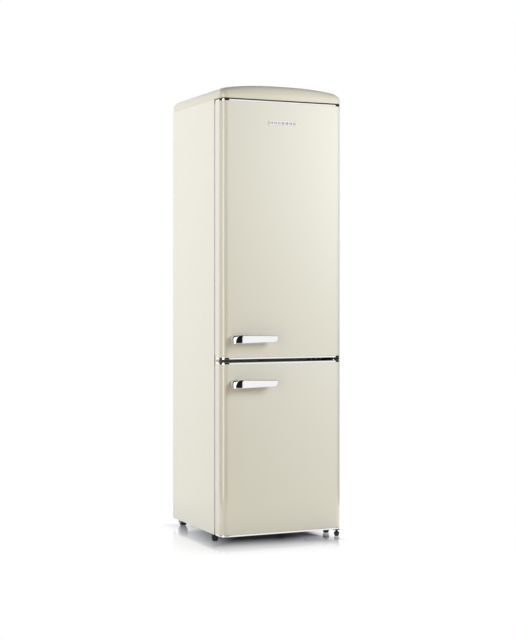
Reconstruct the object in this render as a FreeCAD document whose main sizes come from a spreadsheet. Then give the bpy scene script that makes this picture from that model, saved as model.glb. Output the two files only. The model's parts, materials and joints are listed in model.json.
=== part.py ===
import FreeCAD, Part
import math
import os
import re
import Sketcher
from FreeCAD import Placement, Rotation, Vector

# Free-standing retro fridge over freezer, in millimetres. +Z is up, the doors face -Y,
# +X is to the right of a person facing the doors, and the origin is on the floor under
# the middle of the whole object. The doors hang on pins near their right-hand edge.

DIMENSIONS = {
    "width": (540, "outer width of cabinet, cap and doors"),
    "door_front": (-264, "plane of the door fronts"),
    "door_depth": (69, "thickness of a door without its seal"),
    "seal_gap": (12, "door back to cabinet front"),
    "cabinet_rear": (293, "rear edge of the side panels"),
    "rear_limit": (300, "rear face of the wall spacers"),
    "cabinet_floor": (31, "underside of the cabinet above the floor"),
    "freezer_door_low": (31, "bottom of the freezer door"),
    "door_split": (738.75, "middle of the gap between the doors"),
    "split_gap": (13.5, "height of the gap between the doors"),
    "fridge_door_high": (1793.5, "top of the fridge door"),
    "carcass_top": (1795, "top of foam, face frame and rear panel"),
    "cap_low": (1798.5, "underside of the top cap"),
    "cap_side": (1838, "height of the cap where its arch meets the sides"),
    "cap_peak": (1859, "height of the cap in the middle of its arch"),
    "cap_wall": (10, "wall of the hollow cap"),
    "cap_roll": (30, "radius that rolls the cap front into its top"),
    "cap_rear_roll": (40, "radius of the cap's top rear edge"),
    "cap_edge": (20, "radius of the cap's long top edges"),
    "opening_corner": (20, "radius of the corners of the fridge opening"),
    "corner": (28, "radius of the vertical front corners"),
    "sheet": (1, "painted steel sheet"),
    "plastic": (2, "wall of the liners"),
    "side_wall": (50, "insulated side wall, outside to inside"),
    "liner_rear": (245, "back of the liners"),
    "fridge_floor": (780, "inside floor of the fridge"),
    "fridge_roof": (1758, "inside roof of the fridge"),
    "freezer_floor": (68, "inside floor of the freezer"),
    "freezer_roof": (700, "inside roof of the freezer"),
    "step_height": (285, "freezer floor above the compressor"),
    "step_depth": (60, "back of the low part of the freezer"),
    "niche_roof": (235, "roof of the compressor niche"),
    "niche_front": (110, "front wall of the compressor niche"),
    "trim": (6.5, "height of the bright strips on the doors"),
    "trim_wrap": (62, "how far a strip wraps round the door corner"),
    "trim_wall": (3, "thickness of a bright strip"),
    "seal_inset": (27, "seal to the door's side"),
    "seal_end_inset": (14, "seal to the door's top and bottom"),
    "seal_width": (18, "width of the seal"),
    "rim_out": (208, "outside of the door liner's raised rim"),
    "rim_in": (190, "inside of the door liner's raised rim"),
    "rim_rise": (27, "height of the rim behind the door"),
    "hinge_x": (257, "door axis"),
    "hinge_y": (-241, "door axis"),
    "pin": (4, "radius of the hinge pins"),
    "boss": (9, "radius of the pin sockets in the door ends"),
    "socket": (22, "depth of a pin socket inside a door end cap"),
    "handle_left": (-231, "outer end of a handle"),
    "handle_length": (195, "length of a handle"),
    "handle_height": (34, "height of a handle at its root"),
    "handle_taper": (4, "how much a handle narrows, above and below, towards its tip"),
    "handle_reach": (36, "how far a handle stands in front of the door"),
    "handle_bar": (9, "thickness of a handle's bar"),
    "handle_root": (34, "width of the handle's root on the door"),
    "handle_fridge": (827, "middle of the fridge door's handle"),
    "handle_freezer": (647, "middle of the freezer door's handle"),
    "shelf_front": (-90, "front edge of the glass shelves"),
    "shelf_rear": (225, "rear edge of the glass shelves"),
    "glass": (4, "thickness of the glass shelves"),
    "bin_rear": (-103, "inner face of the door bins"),
    "foot_x": (253, "front levelling feet"),
    "foot_y": (-150, "front levelling feet"),
    "foot_radius": (13.5, "radius of a front foot"),
    "roller_x": (234, "middle of a rear roller"),
    "roller_y": (265, "axle of the rear rollers"),
    "roller_radius": (21, "radius of a rear roller"),
    "roller_width": (24, "width of a rear roller"),
    "running_gap": (0.05, "radial play of pins, studs and axles"),
}

HALF = "width / 2"
DOOR_BACK = "(door_front + door_depth)"
FRAME_FRONT = "(door_front + door_depth + seal_gap)"
FRAME_BACK = "(door_front + door_depth + seal_gap + 2)"
OPENING = "(width / 2 - side_wall)"
FREEZER_DOOR_HIGH = "(door_split - split_gap / 2)"
FRIDGE_DOOR_LOW = "(door_split + split_gap / 2)"
SHELF_LEVELS = ("1140", "1340", "1540")
CRISPER_COVER_LEVEL = "984"

doc = FreeCAD.newDocument("fridge_freezer")
sheet = doc.addObject("Spreadsheet::Sheet", "dims")
for row, (alias, (value, note)) in enumerate(DIMENSIONS.items(), start=1):
    sheet.set(f"A{row}", note)
    sheet.set(f"B{row}", str(value))
    sheet.setAlias(f"B{row}", alias)
doc.recompute()

subparts = {}


# ---------------------------------------------------------------- sketch and feature helpers

def linked(text):
    """The expression with each dimension's name pointed at the sheet."""
    return re.sub(r"[a-z_]+", lambda m: "dims." + m[0] if m[0] in DIMENSIONS else m[0], str(text))


def number(text):
    return float(sheet.evalExpression(linked(text)))


def new_body(label, x="0", y="0", z="0"):
    """An empty PartDesign body standing at a place given by expressions."""
    body = doc.addObject("PartDesign::Body", label)
    body.Label = label
    for axis, value in zip("xyz", (x, y, z)):
        body.setExpression(f"Placement.Base.{axis}", linked(value))
    doc.recompute()
    return body


def keep(item, label=None):
    """Mark an object as a sub-part that gets a file of its own."""
    item.Label = label or item.Label
    subparts[item.Label] = item
    return item


def new_sketch(body, plane, level):
    """A sketch on an origin plane of the body, moved along the plane's world axis."""
    drawing = body.newObject("Sketcher::SketchObject", body.Label + "_outline")
    support = next(f for f in body.Origin.OriginFeatures if f.Role == plane + "_Plane")
    drawing.AttachmentSupport = [(support, "")]
    drawing.MapMode = "FlatFace"
    sign = "-1" if plane == "XZ" else "1"
    drawing.setExpression("AttachmentOffset.Base.z", linked(f"{sign} * ({level})"))
    return drawing


def fix_point(drawing, geometry, end, x, y):
    """Hold one end of a sketch element at a place given by two expressions."""
    for kind, value in (("DistanceX", x), ("DistanceY", y)):
        index = drawing.addConstraint(
            Sketcher.Constraint(kind, -1, 1, geometry, end, number(value)))
        drawing.setExpression(f"Constraints[{index}]", linked(value))


def fix_radius(drawing, geometry, radius):
    index = drawing.addConstraint(Sketcher.Constraint("Radius", geometry, number(radius)))
    drawing.setExpression(f"Constraints[{index}]", linked(radius))


def sign_of(value):
    return (value > 1e-6) - (value < -1e-6)


def corner_ends(corners, index):
    """Where the outline enters and leaves a corner: the corner itself, or its arc's two ends."""
    corner = corners[index]
    if len(corner) == 2:
        return corner, corner
    x, y, radius = corner
    ends = []
    for other in (corners[index - 1], corners[(index + 1) % len(corners)]):
        step_x = sign_of(number(other[0]) - number(x))
        step_y = sign_of(number(other[1]) - number(y))
        ends.append((f"{x} + ({step_x}) * ({radius})", f"{y} + ({step_y}) * ({radius})"))
    return ends[0], ends[1]


def add_arc(drawing, start, finish, centre, radius):
    """An arc between two places, with its ends ordered the counter-clockwise way round."""
    angles = [math.atan2(p[1] - centre[1], p[0] - centre[0]) for p in (start, finish)]
    turned = (angles[1] - angles[0]) % (2 * math.pi) > math.pi
    if turned:
        angles.reverse()
    circle = Part.Circle(Vector(centre[0], centre[1], 0), Vector(0, 0, 1), radius)
    return drawing.addGeometry(Part.ArcOfCircle(circle, *angles)), turned


def add_outline(drawing, corners):
    """A closed outline of (x, y) or (x, y, radius) corners; radii lie between lines along the axes."""
    ends = [corner_ends(corners, index) for index in range(len(corners))]
    places = [[tuple(number(v) for v in end) for end in pair] for pair in ends]
    lines = []
    for index in range(len(corners)):
        following = (index + 1) % len(corners)
        start = Vector(*places[index][1], 0)
        finish = Vector(*places[following][0], 0)
        lines.append(drawing.addGeometry(Part.LineSegment(start, finish)))
    for index, corner in enumerate(corners):
        arriving, leaving = lines[index - 1], lines[index]
        fix_point(drawing, leaving, 1, *ends[index][1])
        if len(corner) == 2:
            drawing.addConstraint(Sketcher.Constraint("Coincident", arriving, 2, leaving, 1))
            continue
        fix_point(drawing, arriving, 2, *ends[index][0])
        entry, exit_ = places[index]
        tip = (number(corner[0]), number(corner[1]))
        centre = (entry[0] + exit_[0] - tip[0], entry[1] + exit_[1] - tip[1])
        arc, turned = add_arc(drawing, entry, exit_, centre, number(corner[2]))
        first, last = (2, 1) if turned else (1, 2)
        drawing.addConstraint(Sketcher.Constraint("Coincident", arc, first, arriving, 2))
        drawing.addConstraint(Sketcher.Constraint("Coincident", arc, last, leaving, 1))
        fix_radius(drawing, arc, corner[2])


def add_hole(drawing, x, y, radius):
    centre = Vector(number(x), number(y), 0)
    circle = drawing.addGeometry(Part.Circle(centre, Vector(0, 0, 1), number(radius)))
    fix_point(drawing, circle, 3, x, y)
    fix_radius(drawing, circle, radius)


def rectangle(x_low, x_high, y_low, y_high, radius=None):
    corners = [(x_low, y_low), (x_high, y_low), (x_high, y_high), (x_low, y_high)]
    if radius:
        corners = [corner + (radius,) for corner in corners]
    return corners


def draw(body, plane, level, loops):
    """A sketch of several loops: a list is an outline, a (x, y, radius) tuple is a round hole."""
    drawing = new_sketch(body, plane, level)
    for loop in loops:
        if isinstance(loop, tuple):
            add_hole(drawing, *loop)
        else:
            add_outline(drawing, loop)
    return drawing


def extrude(body, kind, drawing, plane, low, high):
    feature = body.newObject(f"PartDesign::{kind}", f"{body.Label}_{kind.lower()}")
    feature.Profile = drawing
    feature.setExpression("Length", linked(f"({high}) - ({low})"))
    feature.Reversed = (plane == "XZ") == (kind == "Pad")
    drawing.Visibility = False
    return feature


def pad(body, plane, low, high, *loops):
    """Add the outline's solid between two levels along the plane's world axis."""
    extrude(body, "Pad", draw(body, plane, low, loops), plane, low, high)


def cut(body, plane, low, high, *loops):
    """Take the outline's solid away between two levels, and prove that it took something."""
    doc.recompute()
    before = body.Shape.Volume
    extrude(body, "Pocket", draw(body, plane, low, loops), plane, low, high)
    doc.recompute()
    if not body.Shape.Volume < before - 1e-3:
        raise RuntimeError(f"a cut in {body.Label} removed nothing")


def round_edges(body, radius, chosen):
    """Fillet the edges of the body that the function picks out."""
    doc.recompute()
    base = body.Tip
    names = [f"Edge{n}" for n, edge in enumerate(base.Shape.Edges, start=1) if chosen(edge)]
    if not names:
        raise RuntimeError(f"no edge to round in {body.Label}")
    feature = body.newObject("PartDesign::Fillet", body.Label + "_fillet")
    feature.Base = (base, names)
    feature.setExpression("Radius", linked(radius))


def along(edge, axis):
    """Whether a straight edge runs along an axis."""
    if edge.Curve.TypeId != "Part::GeomLine":
        return False
    return abs(getattr(edge.Curve.Direction, axis)) > 0.999


def middle(edge):
    return edge.BoundBox.Center


def near(value, text, tolerance=0.05):
    return abs(value - number(text)) < tolerance


def turned_body(label, x, y, z, profile, rotation=None):
    """A body turned about its own Z axis from (radius, height) corners, then placed."""
    body = new_body(label, x, y, z)
    drawing = draw(body, "XZ", "0", [profile])
    feature = body.newObject("PartDesign::Revolution", label + "_turn")
    feature.Profile = drawing
    feature.ReferenceAxis = (drawing, ["V_Axis"])
    feature.Angle = 360
    drawing.Visibility = False
    if rotation:
        body.Placement.Rotation = rotation
    return body


def plain_box(label, x_low, x_high, y_low, y_high, z_low, z_high):
    box = doc.addObject("Part::Box", label)
    spans = (("Length", "x", x_low, x_high), ("Width", "y", y_low, y_high),
             ("Height", "z", z_low, z_high))
    for size, axis, low, high in spans:
        box.setExpression(size, linked(f"({high}) - ({low})"))
        box.setExpression(f"Placement.Base.{axis}", linked(low))
    return box


ALONG_X = Rotation(Vector(0, 1, 0), 90)
ALONG_Y = Rotation(Vector(1, 0, 0), -90)
ALONG_Z = Rotation()


def rod(label, direction, x, y, z, radius, length):
    """A cylinder that starts at a place and runs the positive way along an axis."""
    cylinder = doc.addObject("Part::Cylinder", label)
    cylinder.Placement = Placement(Vector(), direction)
    for axis, value in zip("xyz", (x, y, z)):
        cylinder.setExpression(f"Placement.Base.{axis}", linked(value))
    cylinder.setExpression("Radius", linked(radius))
    cylinder.setExpression("Height", linked(length))
    return cylinder


def group(label, members):
    """One sub-part made of several separate like pieces."""
    compound = doc.addObject("Part::Compound", label)
    compound.Links = members
    return keep(compound, label)


def tube(label, points, bend, radius):
    """A bent tube: straight runs joined by tangent arcs at every inner point."""
    edges = []
    start = points[0]
    for before, corner, after in zip(points, points[1:], points[2:]):
        inward = (corner - before).normalize()
        outward = (after - corner).normalize()
        turn = inward.getAngle(outward)
        setback = bend * math.tan(turn / 2)
        arc_start = corner - inward * setback
        arc_end = corner + outward * setback
        bisector = (outward - inward).normalize()
        arc_middle = corner + bisector * (bend / math.cos(turn / 2) - bend)
        edges.append(Part.LineSegment(start, arc_start).toShape())
        edges.append(Part.Arc(arc_start, arc_middle, arc_end).toShape())
        start = arc_end
    edges.append(Part.LineSegment(start, points[-1]).toShape())
    path = Part.Wire(edges)
    direction = (points[1] - points[0]).normalize()
    section = Part.Wire(Part.Circle(points[0], direction, radius).toShape())
    item = doc.addObject("Part::Feature", label)
    item.Shape = path.makePipeShell([section], True, False)
    return item


# ---------------------------------------------------------------- cabinet

def make_side_panel(label, side):
    """A steel side with a folded flange along its rear edge; side is -1 for left, 1 for right."""
    body = keep(new_body(label))
    outer = f"{side} * {HALF}"
    inner = f"{side} * ({HALF} - sheet)"
    flange = f"{side} * ({HALF} - 12)"
    pad(body, "XY", "cabinet_floor", "cap_low", [
        (outer, FRAME_FRONT), (outer, "cabinet_rear"), (flange, "cabinet_rear"),
        (flange, "cabinet_rear - sheet"), (inner, "cabinet_rear - sheet"), (inner, FRAME_FRONT)])


def make_top_cover():
    """The arched hollow cap, which overhangs the cabinet to stand flush with the doors."""
    body = keep(new_body("top_cover"))
    add_arched_pad(body, HALF, "cap_low", "cap_side", "cap_peak", "door_front", "cabinet_rear")
    round_edges(body, "cap_edge", lambda edge: along(edge, "y") and near(middle(edge).z, "cap_side"))
    beyond = rectangle("door_front - 50", "cabinet_rear + 50", "cap_low - 50", "cap_peak + 50")
    side_view = [("door_front", "cap_low"), ("cabinet_rear", "cap_low"),
                 ("cabinet_rear", "cap_peak", "cap_rear_roll"), ("door_front", "cap_peak", "cap_roll")]
    cut(body, "YZ", f"-{HALF} - 5", f"{HALF} + 5", beyond, side_view)
    around = rectangle(f"-{HALF} - 50", f"{HALF} + 50", "door_front - 50", "cabinet_rear + 50")
    plan = [(f"-{HALF}", "cabinet_rear"), (f"-{HALF}", "door_front", "corner"),
            (HALF, "door_front", "corner"), (HALF, "cabinet_rear")]
    cut(body, "XY", "cap_low - 5", "cap_peak + 5", around, plan)
    cut(body, "XZ", f"{FRAME_FRONT} - 2", "cabinet_rear - cap_wall",
        rectangle(f"-{HALF} + cap_wall", f"{HALF} - cap_wall", "cap_low - 1", "cap_side - cap_wall"))
    cut(body, "XZ", "door_front + cap_wall + 6", f"{FRAME_FRONT} - 2",
        rectangle(f"-{HALF} + cap_wall + 2", f"{HALF} - cap_wall - 2", "cap_low + 3",
                  "cap_side - cap_wall"))


def add_arched_pad(body, half, low, side, peak, y_low, y_high):
    """Pad a block whose top is a shallow arc across the width."""
    drawing = new_sketch(body, "XZ", y_low)
    bottom_left = Vector(-number(half), number(low), 0)
    bottom_right = Vector(number(half), number(low), 0)
    top_right = Vector(number(half), number(side), 0)
    top_left = Vector(-number(half), number(side), 0)
    right = drawing.addGeometry(Part.LineSegment(bottom_right, top_right))
    left = drawing.addGeometry(Part.LineSegment(top_left, bottom_left))
    base = drawing.addGeometry(Part.LineSegment(bottom_left, bottom_right))
    rise = f"({peak} - {side})"
    radius = f"(({half})^2 + {rise}^2) / (2 * {rise})"
    centre = (0, number(peak) - number(radius))
    arc, turned = add_arc(drawing, (top_right.x, top_right.y), (top_left.x, top_left.y),
                          centre, number(radius))
    fix_point(drawing, right, 1, half, low)
    fix_point(drawing, right, 2, half, side)
    fix_point(drawing, left, 1, f"-({half})", side)
    fix_point(drawing, left, 2, f"-({half})", low)
    drawing.addConstraint(Sketcher.Constraint("Coincident", base, 1, left, 2))
    drawing.addConstraint(Sketcher.Constraint("Coincident", base, 2, right, 1))
    first, last = (2, 1) if turned else (1, 2)
    drawing.addConstraint(Sketcher.Constraint("Coincident", arc, first, right, 2))
    drawing.addConstraint(Sketcher.Constraint("Coincident", arc, last, left, 1))
    fix_radius(drawing, arc, radius)
    extrude(body, "Pad", drawing, "XZ", y_low, y_high)


def make_rear_panel():
    """One folded sheet: the back, the roof and the front wall of the compressor niche."""
    body = keep(new_body("rear_panel"))
    edge = f"({HALF} - 12.5)"
    rear = "(cabinet_rear - 1)"
    pad(body, "YZ", f"-{edge}", edge, [
        (rear, "carcass_top"), (f"{rear} - sheet", "carcass_top"),
        (f"{rear} - sheet", "niche_roof + sheet"), ("niche_front - sheet", "niche_roof + sheet"),
        ("niche_front - sheet", "cabinet_floor + 2"), ("niche_front", "cabinet_floor + 2"),
        ("niche_front", "niche_roof"), (rear, "niche_roof")])


def make_base_plate():
    """The steel floor of the cabinet, open round both rear rollers and bored for the feet."""
    body = keep(new_body("base_plate"))
    edge = f"({HALF} - sheet)"
    well = "(roller_x - 17.5)"
    front = f"{FRAME_BACK}"
    rear = "(cabinet_rear - 1)"
    well_front = "(roller_y - 27)"
    pad(body, "XY", "cabinet_floor", "cabinet_floor + 2", [
        (f"-{edge}", front), (edge, front), (edge, well_front), (well, well_front), (well, rear),
        (f"-{well}", rear), (f"-{well}", well_front), (f"-{edge}", well_front)],
        ("foot_x", "foot_y", "pin + running_gap"), ("-foot_x", "foot_y", "pin + running_gap"))


def make_front_frame():
    """The painted face frame that both door seals close against."""
    body = keep(new_body("front_frame"))
    edge = f"({HALF} - sheet)"
    pad(body, "XZ", FRAME_FRONT, FRAME_BACK,
        rectangle(f"-{edge}", edge, "cabinet_floor", "carcass_top"),
        rectangle(f"-{OPENING}", OPENING, "fridge_floor", "fridge_roof", "opening_corner"),
        rectangle(f"-{OPENING}", OPENING, "freezer_floor", "freezer_roof"))


def freezer_profile(inset, front):
    """The stepped side view of the freezer space, grown outwards by the inset."""
    return [(front, f"freezer_floor - {inset}"), (f"step_depth + {inset}", f"freezer_floor - {inset}"),
            (f"step_depth + {inset}", f"step_height - {inset}"),
            (f"liner_rear - plastic + {inset}", f"step_height - {inset}"),
            (f"liner_rear - plastic + {inset}", f"freezer_roof + {inset}"),
            (front, f"freezer_roof + {inset}")]


def make_foam():
    """The foamed-in insulation, with a shallow recess for the condenser behind it."""
    body = keep(new_body("cabinet_foam"))
    edge = f"({HALF} - sheet)"
    rear = "(cabinet_rear - 2)"
    floor = "(cabinet_floor + 2)"
    pad(body, "YZ", f"-{edge}", edge, [
        (FRAME_BACK, floor), (FRAME_BACK, "carcass_top"), (rear, "carcass_top"),
        (rear, "niche_roof + sheet"), ("niche_front - sheet", "niche_roof + sheet"),
        ("niche_front - sheet", floor)])
    liner_edge = f"({OPENING} + plastic)"
    cut(body, "XZ", FRAME_BACK, "liner_rear",
        rectangle(f"-{liner_edge}", liner_edge, "fridge_floor - plastic", "fridge_roof + plastic"))
    cut(body, "YZ", f"-{liner_edge}", liner_edge, freezer_profile("plastic", FRAME_BACK))
    cut(body, "XZ", f"{rear} - 7", rear, rectangle("-205", "205", "330", "1710"))


def make_liners():
    """The two white moulded tubs, with ledges for the glass shelves."""
    outer = f"({OPENING} + plastic)"
    fridge = keep(new_body("fridge_liner"))
    pad(fridge, "XZ", FRAME_BACK, "liner_rear",
        rectangle(f"-{outer}", outer, "fridge_floor - plastic", "fridge_roof + plastic"))
    cut(fridge, "XZ", FRAME_BACK, "liner_rear - plastic",
        rectangle(f"-{OPENING}", OPENING, "fridge_floor", "fridge_roof", "opening_corner"))
    for level in SHELF_LEVELS + (CRISPER_COVER_LEVEL,):
        for side in ("-1", "1"):
            pad(fridge, "XZ", "shelf_front", "liner_rear - plastic",
                rectangle(f"{side} * {OPENING}", f"{side} * ({OPENING} - 8)", f"{level} - 6", level))
    freezer = keep(new_body("freezer_liner"))
    pad(freezer, "YZ", f"-{outer}", outer, freezer_profile("plastic", FRAME_BACK))
    cut(freezer, "YZ", f"-{OPENING}", OPENING, freezer_profile("0", f"{FRAME_BACK} - 1"))


def make_shelves():
    """Three glass shelves and the crisper's glass cover, each with a moulded front edge."""
    names = ("glass_shelf_bottom", "glass_shelf_middle", "glass_shelf_top", "crisper_cover")
    trims = []
    for name, level in zip(names, SHELF_LEVELS + (CRISPER_COVER_LEVEL,)):
        shelf = keep(new_body(name))
        pad(shelf, "XY", level, f"{level} + glass",
            rectangle(f"-{OPENING} + 2", f"{OPENING} - 2", "shelf_front", "shelf_rear", "6"))
        trim = plain_box(name + "_trim", f"-{OPENING} + 2", f"{OPENING} - 2",
                         "shelf_front - 7", "shelf_front", f"{level} - 5", f"{level} + 9")
        trims.append(trim)
    group("shelf_trims", trims)


def make_lamp_and_thermostat():
    """The lamp and thermostat box on the right wall, its diffuser and its knob."""
    wall = OPENING
    housing = keep(new_body("lamp_housing"))
    pad(housing, "YZ", f"{wall} - 30", wall, rectangle("-70", "70", "1600", "1700", "12"))
    cut(housing, "YZ", f"{wall} - 31", f"{wall} - 6", rectangle("-10", "60", "1610", "1690", "6"))
    cut(housing, "YZ", f"{wall} - 31", f"{wall} - 14", ("-40", "1650", "3 + running_gap"))
    cover = keep(new_body("lamp_cover"))
    pad(cover, "YZ", f"{wall} - 30", f"{wall} - 27", rectangle("-10", "60", "1610", "1690", "6"))
    pad(cover, "YZ", f"{wall} - 33", f"{wall} - 30", rectangle("-4", "54", "1616", "1684", "6"))
    turned = turned_body("thermostat_knob", f"{wall} - 46", "-40", "1650", [
        ("0", "0"), ("15", "0"), ("18", "3"), ("18", "14"), ("3", "14"), ("3", "30"), ("0", "30")],
        ALONG_X)
    keep(turned)


def make_freezer_evaporator():
    """Two cold plates that carry the upper drawers, joined by a riser at the back."""
    body = keep(new_body("freezer_evaporator"))
    pad(body, "YZ", f"-{OPENING}", OPENING, rectangle("-80", "240", "289", "293"))
    pad(body, "YZ", "-60", "60", rectangle("236", "240", "293", "489"))
    pad(body, "YZ", f"-{OPENING}", OPENING, rectangle("-80", "240", "489", "493"))


# ---------------------------------------------------------------- doors

def door_plan(inset, rear):
    """The plan of a door's rounded front, pulled in by the inset."""
    left, right = f"-{HALF} + {inset}", f"{HALF} - {inset}"
    front, radius = f"door_front + {inset}", f"corner - {inset}"
    return [(left, rear), (left, front, radius), (right, front, radius), (right, rear)]


def band(inset, rear):
    """A strip that follows the door's front and corners, as thick as the inset."""
    return door_plan("0", rear) + door_plan(inset, rear)[::-1]


def make_end_cap(label, low, high, inward):
    """The moulded end of a door with its pin socket; inward is 1 if the door is above it."""
    body = new_body(label)
    wrap = "door_front + trim_wrap"
    plan = [(f"-{HALF}", DOOR_BACK), (f"-{HALF}", wrap), (f"-{HALF} + trim_wall", wrap),
            (f"-{HALF} + trim_wall", "door_front + trim_wall", "corner - trim_wall"),
            (f"{HALF} - trim_wall", "door_front + trim_wall", "corner - trim_wall"),
            (f"{HALF} - trim_wall", wrap), (HALF, wrap), (HALF, DOOR_BACK)]
    pad(body, "XY", low, high, plan)
    if inward > 0:
        boss_low, boss_high = high, f"{high} + socket"
        bore_low, bore_high = f"{low} - 1", f"{high} + socket - 2"
    else:
        boss_low, boss_high = f"{low} - socket", low
        bore_low, bore_high = f"{low} - socket + 2", f"{high} + 1"
    pad(body, "XY", boss_low, boss_high, ("hinge_x", "hinge_y", "boss"))
    cut(body, "XY", bore_low, bore_high, ("hinge_x", "hinge_y", "pin + running_gap"))
    return body


def make_door(name, low, high, handle_middle):
    """Everything that both doors have: skin, foam, ends, bright strips, liner, seal and handle."""
    skin_low = f"({low} + trim)"
    skin_high = f"({high} - trim)"
    skin = keep(new_body(name + "_skin"))
    pad(skin, "XY", skin_low, skin_high, band("sheet", DOOR_BACK))

    caps = [make_end_cap(name + "_cap_low", low, skin_low, 1),
            make_end_cap(name + "_cap_high", skin_high, high, -1)]
    group(name + "_end_caps", caps)

    strips = []
    for end, bottom, top in (("low", low, skin_low), ("high", skin_high, high)):
        strip = new_body(f"{name}_strip_{end}")
        pad(strip, "XY", bottom, top, band("trim_wall", "door_front + trim_wrap"))
        strips.append(strip)
    group(name + "_trims", strips)

    foam = keep(new_body(name + "_foam"))
    pad(foam, "XY", skin_low, skin_high, door_plan("sheet", f"{DOOR_BACK} - plastic"))
    around_boss = ("hinge_x", "hinge_y", "boss")
    cut(foam, "XY", skin_low, f"{skin_low} + socket", around_boss)
    cut(foam, "XY", f"{skin_high} - socket", skin_high, around_boss)

    make_door_liner(name + "_liner", low, high, skin_low, skin_high)
    seal_edge = f"({HALF} - seal_inset)"
    seal = keep(new_body(name + "_seal"))
    pad(seal, "XZ", DOOR_BACK, f"{FRAME_FRONT} - 0.3",
        rectangle(f"-{seal_edge}", seal_edge, f"{low} + seal_end_inset", f"{high} - seal_end_inset", "4"),
        rectangle(f"-{seal_edge} + seal_width", f"{seal_edge} - seal_width",
                  f"{low} + seal_end_inset + seal_width", f"{high} - seal_end_inset - seal_width"))
    make_handle(name + "_handle", handle_middle)


def make_door_liner(label, low, high, skin_low, skin_high):
    """The door's moulded inner face: a flat pan with a hollow rim standing up behind it."""
    body = keep(new_body(label))
    face = f"({DOOR_BACK} - plastic)"
    rim_back = f"({DOOR_BACK} + rim_rise)"
    rim_low = f"({low} + 42)"
    rim_high = f"({high} - 42)"
    pad(body, "XZ", face, DOOR_BACK,
        rectangle(f"-{HALF} + sheet", f"{HALF} - sheet", skin_low, skin_high))
    pad(body, "XZ", DOOR_BACK, rim_back, rectangle("-rim_out", "rim_out", rim_low, rim_high, "12"),
        rectangle("-rim_in", "rim_in", f"{rim_low} + 18", f"{rim_high} - 18"))
    cut(body, "XZ", face, f"{rim_back} - plastic",
        rectangle("-rim_out + plastic", "rim_out - plastic", f"{rim_low} + plastic",
                  f"{rim_high} - plastic", "10"),
        rectangle("-rim_in - plastic", "rim_in + plastic", f"{rim_low} + 18 - plastic",
                  f"{rim_high} - 18 + plastic"))


def make_handle(label, centre):
    """A lever cast in one piece: its root curves off the door and its bar tapers to a free tip."""
    body = keep(new_body(label))
    face = "(door_front - handle_reach)"
    tip = "(handle_left + handle_length)"
    root_right = "(handle_left + handle_root)"
    top = f"({centre} + handle_height / 2)"
    bottom = f"({centre} - handle_height / 2)"
    pad(body, "XY", bottom, top, [
        ("handle_left", "door_front"), ("handle_left", face, "26"), (tip, face),
        (tip, f"{face} + handle_bar"), (root_right, f"{face} + handle_bar", "12"),
        (root_right, "door_front")])
    taper_end = f"{tip} - 20"
    silhouette = [
        ("handle_left", bottom), (root_right, bottom), (taper_end, f"{bottom} + handle_taper"),
        (tip, f"{bottom} + handle_taper", "17"), (tip, f"{top} - handle_taper", "5"),
        (taper_end, f"{top} - handle_taper"), (root_right, top), ("handle_left", top, "13")]
    around = rectangle("handle_left - 5", f"{tip} + 5", f"{bottom} - 5", f"{top} + 5")
    cut(body, "XZ", f"{face} - 5", "door_front + 1", around, silhouette)


def make_bin(label, low, height):
    """A clear moulded bin hung between the door liner's rims."""
    body = keep(new_body(label))
    high = f"({low} + {height})"
    pad(body, "XY", low, high, rectangle("-rim_in", "rim_in", DOOR_BACK, "bin_rear"))
    round_edges(body, "14", lambda edge: along(edge, "z") and near(middle(edge).y, "bin_rear"))
    cut(body, "XY", f"{low} + 3", f"{high} + 1",
        [("-rim_in + 3", f"{DOOR_BACK} + 3"), ("rim_in - 3", f"{DOOR_BACK} + 3"),
         ("rim_in - 3", "bin_rear - 3", "11"), ("-rim_in + 3", "bin_rear - 3", "11")])


def make_badge():
    """A plain bright bar on the fridge door, pierced by a row of upright slots."""
    body = keep(new_body("badge"))
    pad(body, "XZ", "door_front - 2.5", "door_front", rectangle("-62", "62", "1696", "1714", "3"))
    for number_ in range(7):
        left = -56.5 + 17 * number_
        for slot_left in (left, left + 6.5):
            cut(body, "XZ", "door_front - 3", "door_front + 1",
                rectangle(f"{slot_left}", f"{slot_left} + 3.5", "1699.5", "1710.5", "1.5"))


# ---------------------------------------------------------------- drawers

def make_drawer(label, half, front, rear, low, high, wall="2.5"):
    """An open-topped drawer with a thicker front that carries a finger grip along its top."""
    body = keep(new_body(label))
    pad(body, "XY", low, high, rectangle(f"-{half}", half, front, rear, "8"))
    cut(body, "XY", f"{low} + {wall}", f"{high} + 1",
        rectangle(f"-{half} + {wall}", f"{half} - {wall}", f"{front} + 5", f"{rear} - {wall}", "6"))
    pad(body, "XY", f"{high} - 14", f"{high} - 9", rectangle("-70", "70", f"{front} - 10", f"{front} + 1"))
    pad(body, "XY", f"{high} - 30", f"{high} - 14", rectangle("-70", "70", f"{front} - 10", f"{front} - 7"))


# ---------------------------------------------------------------- hinges, feet and rollers

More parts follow.
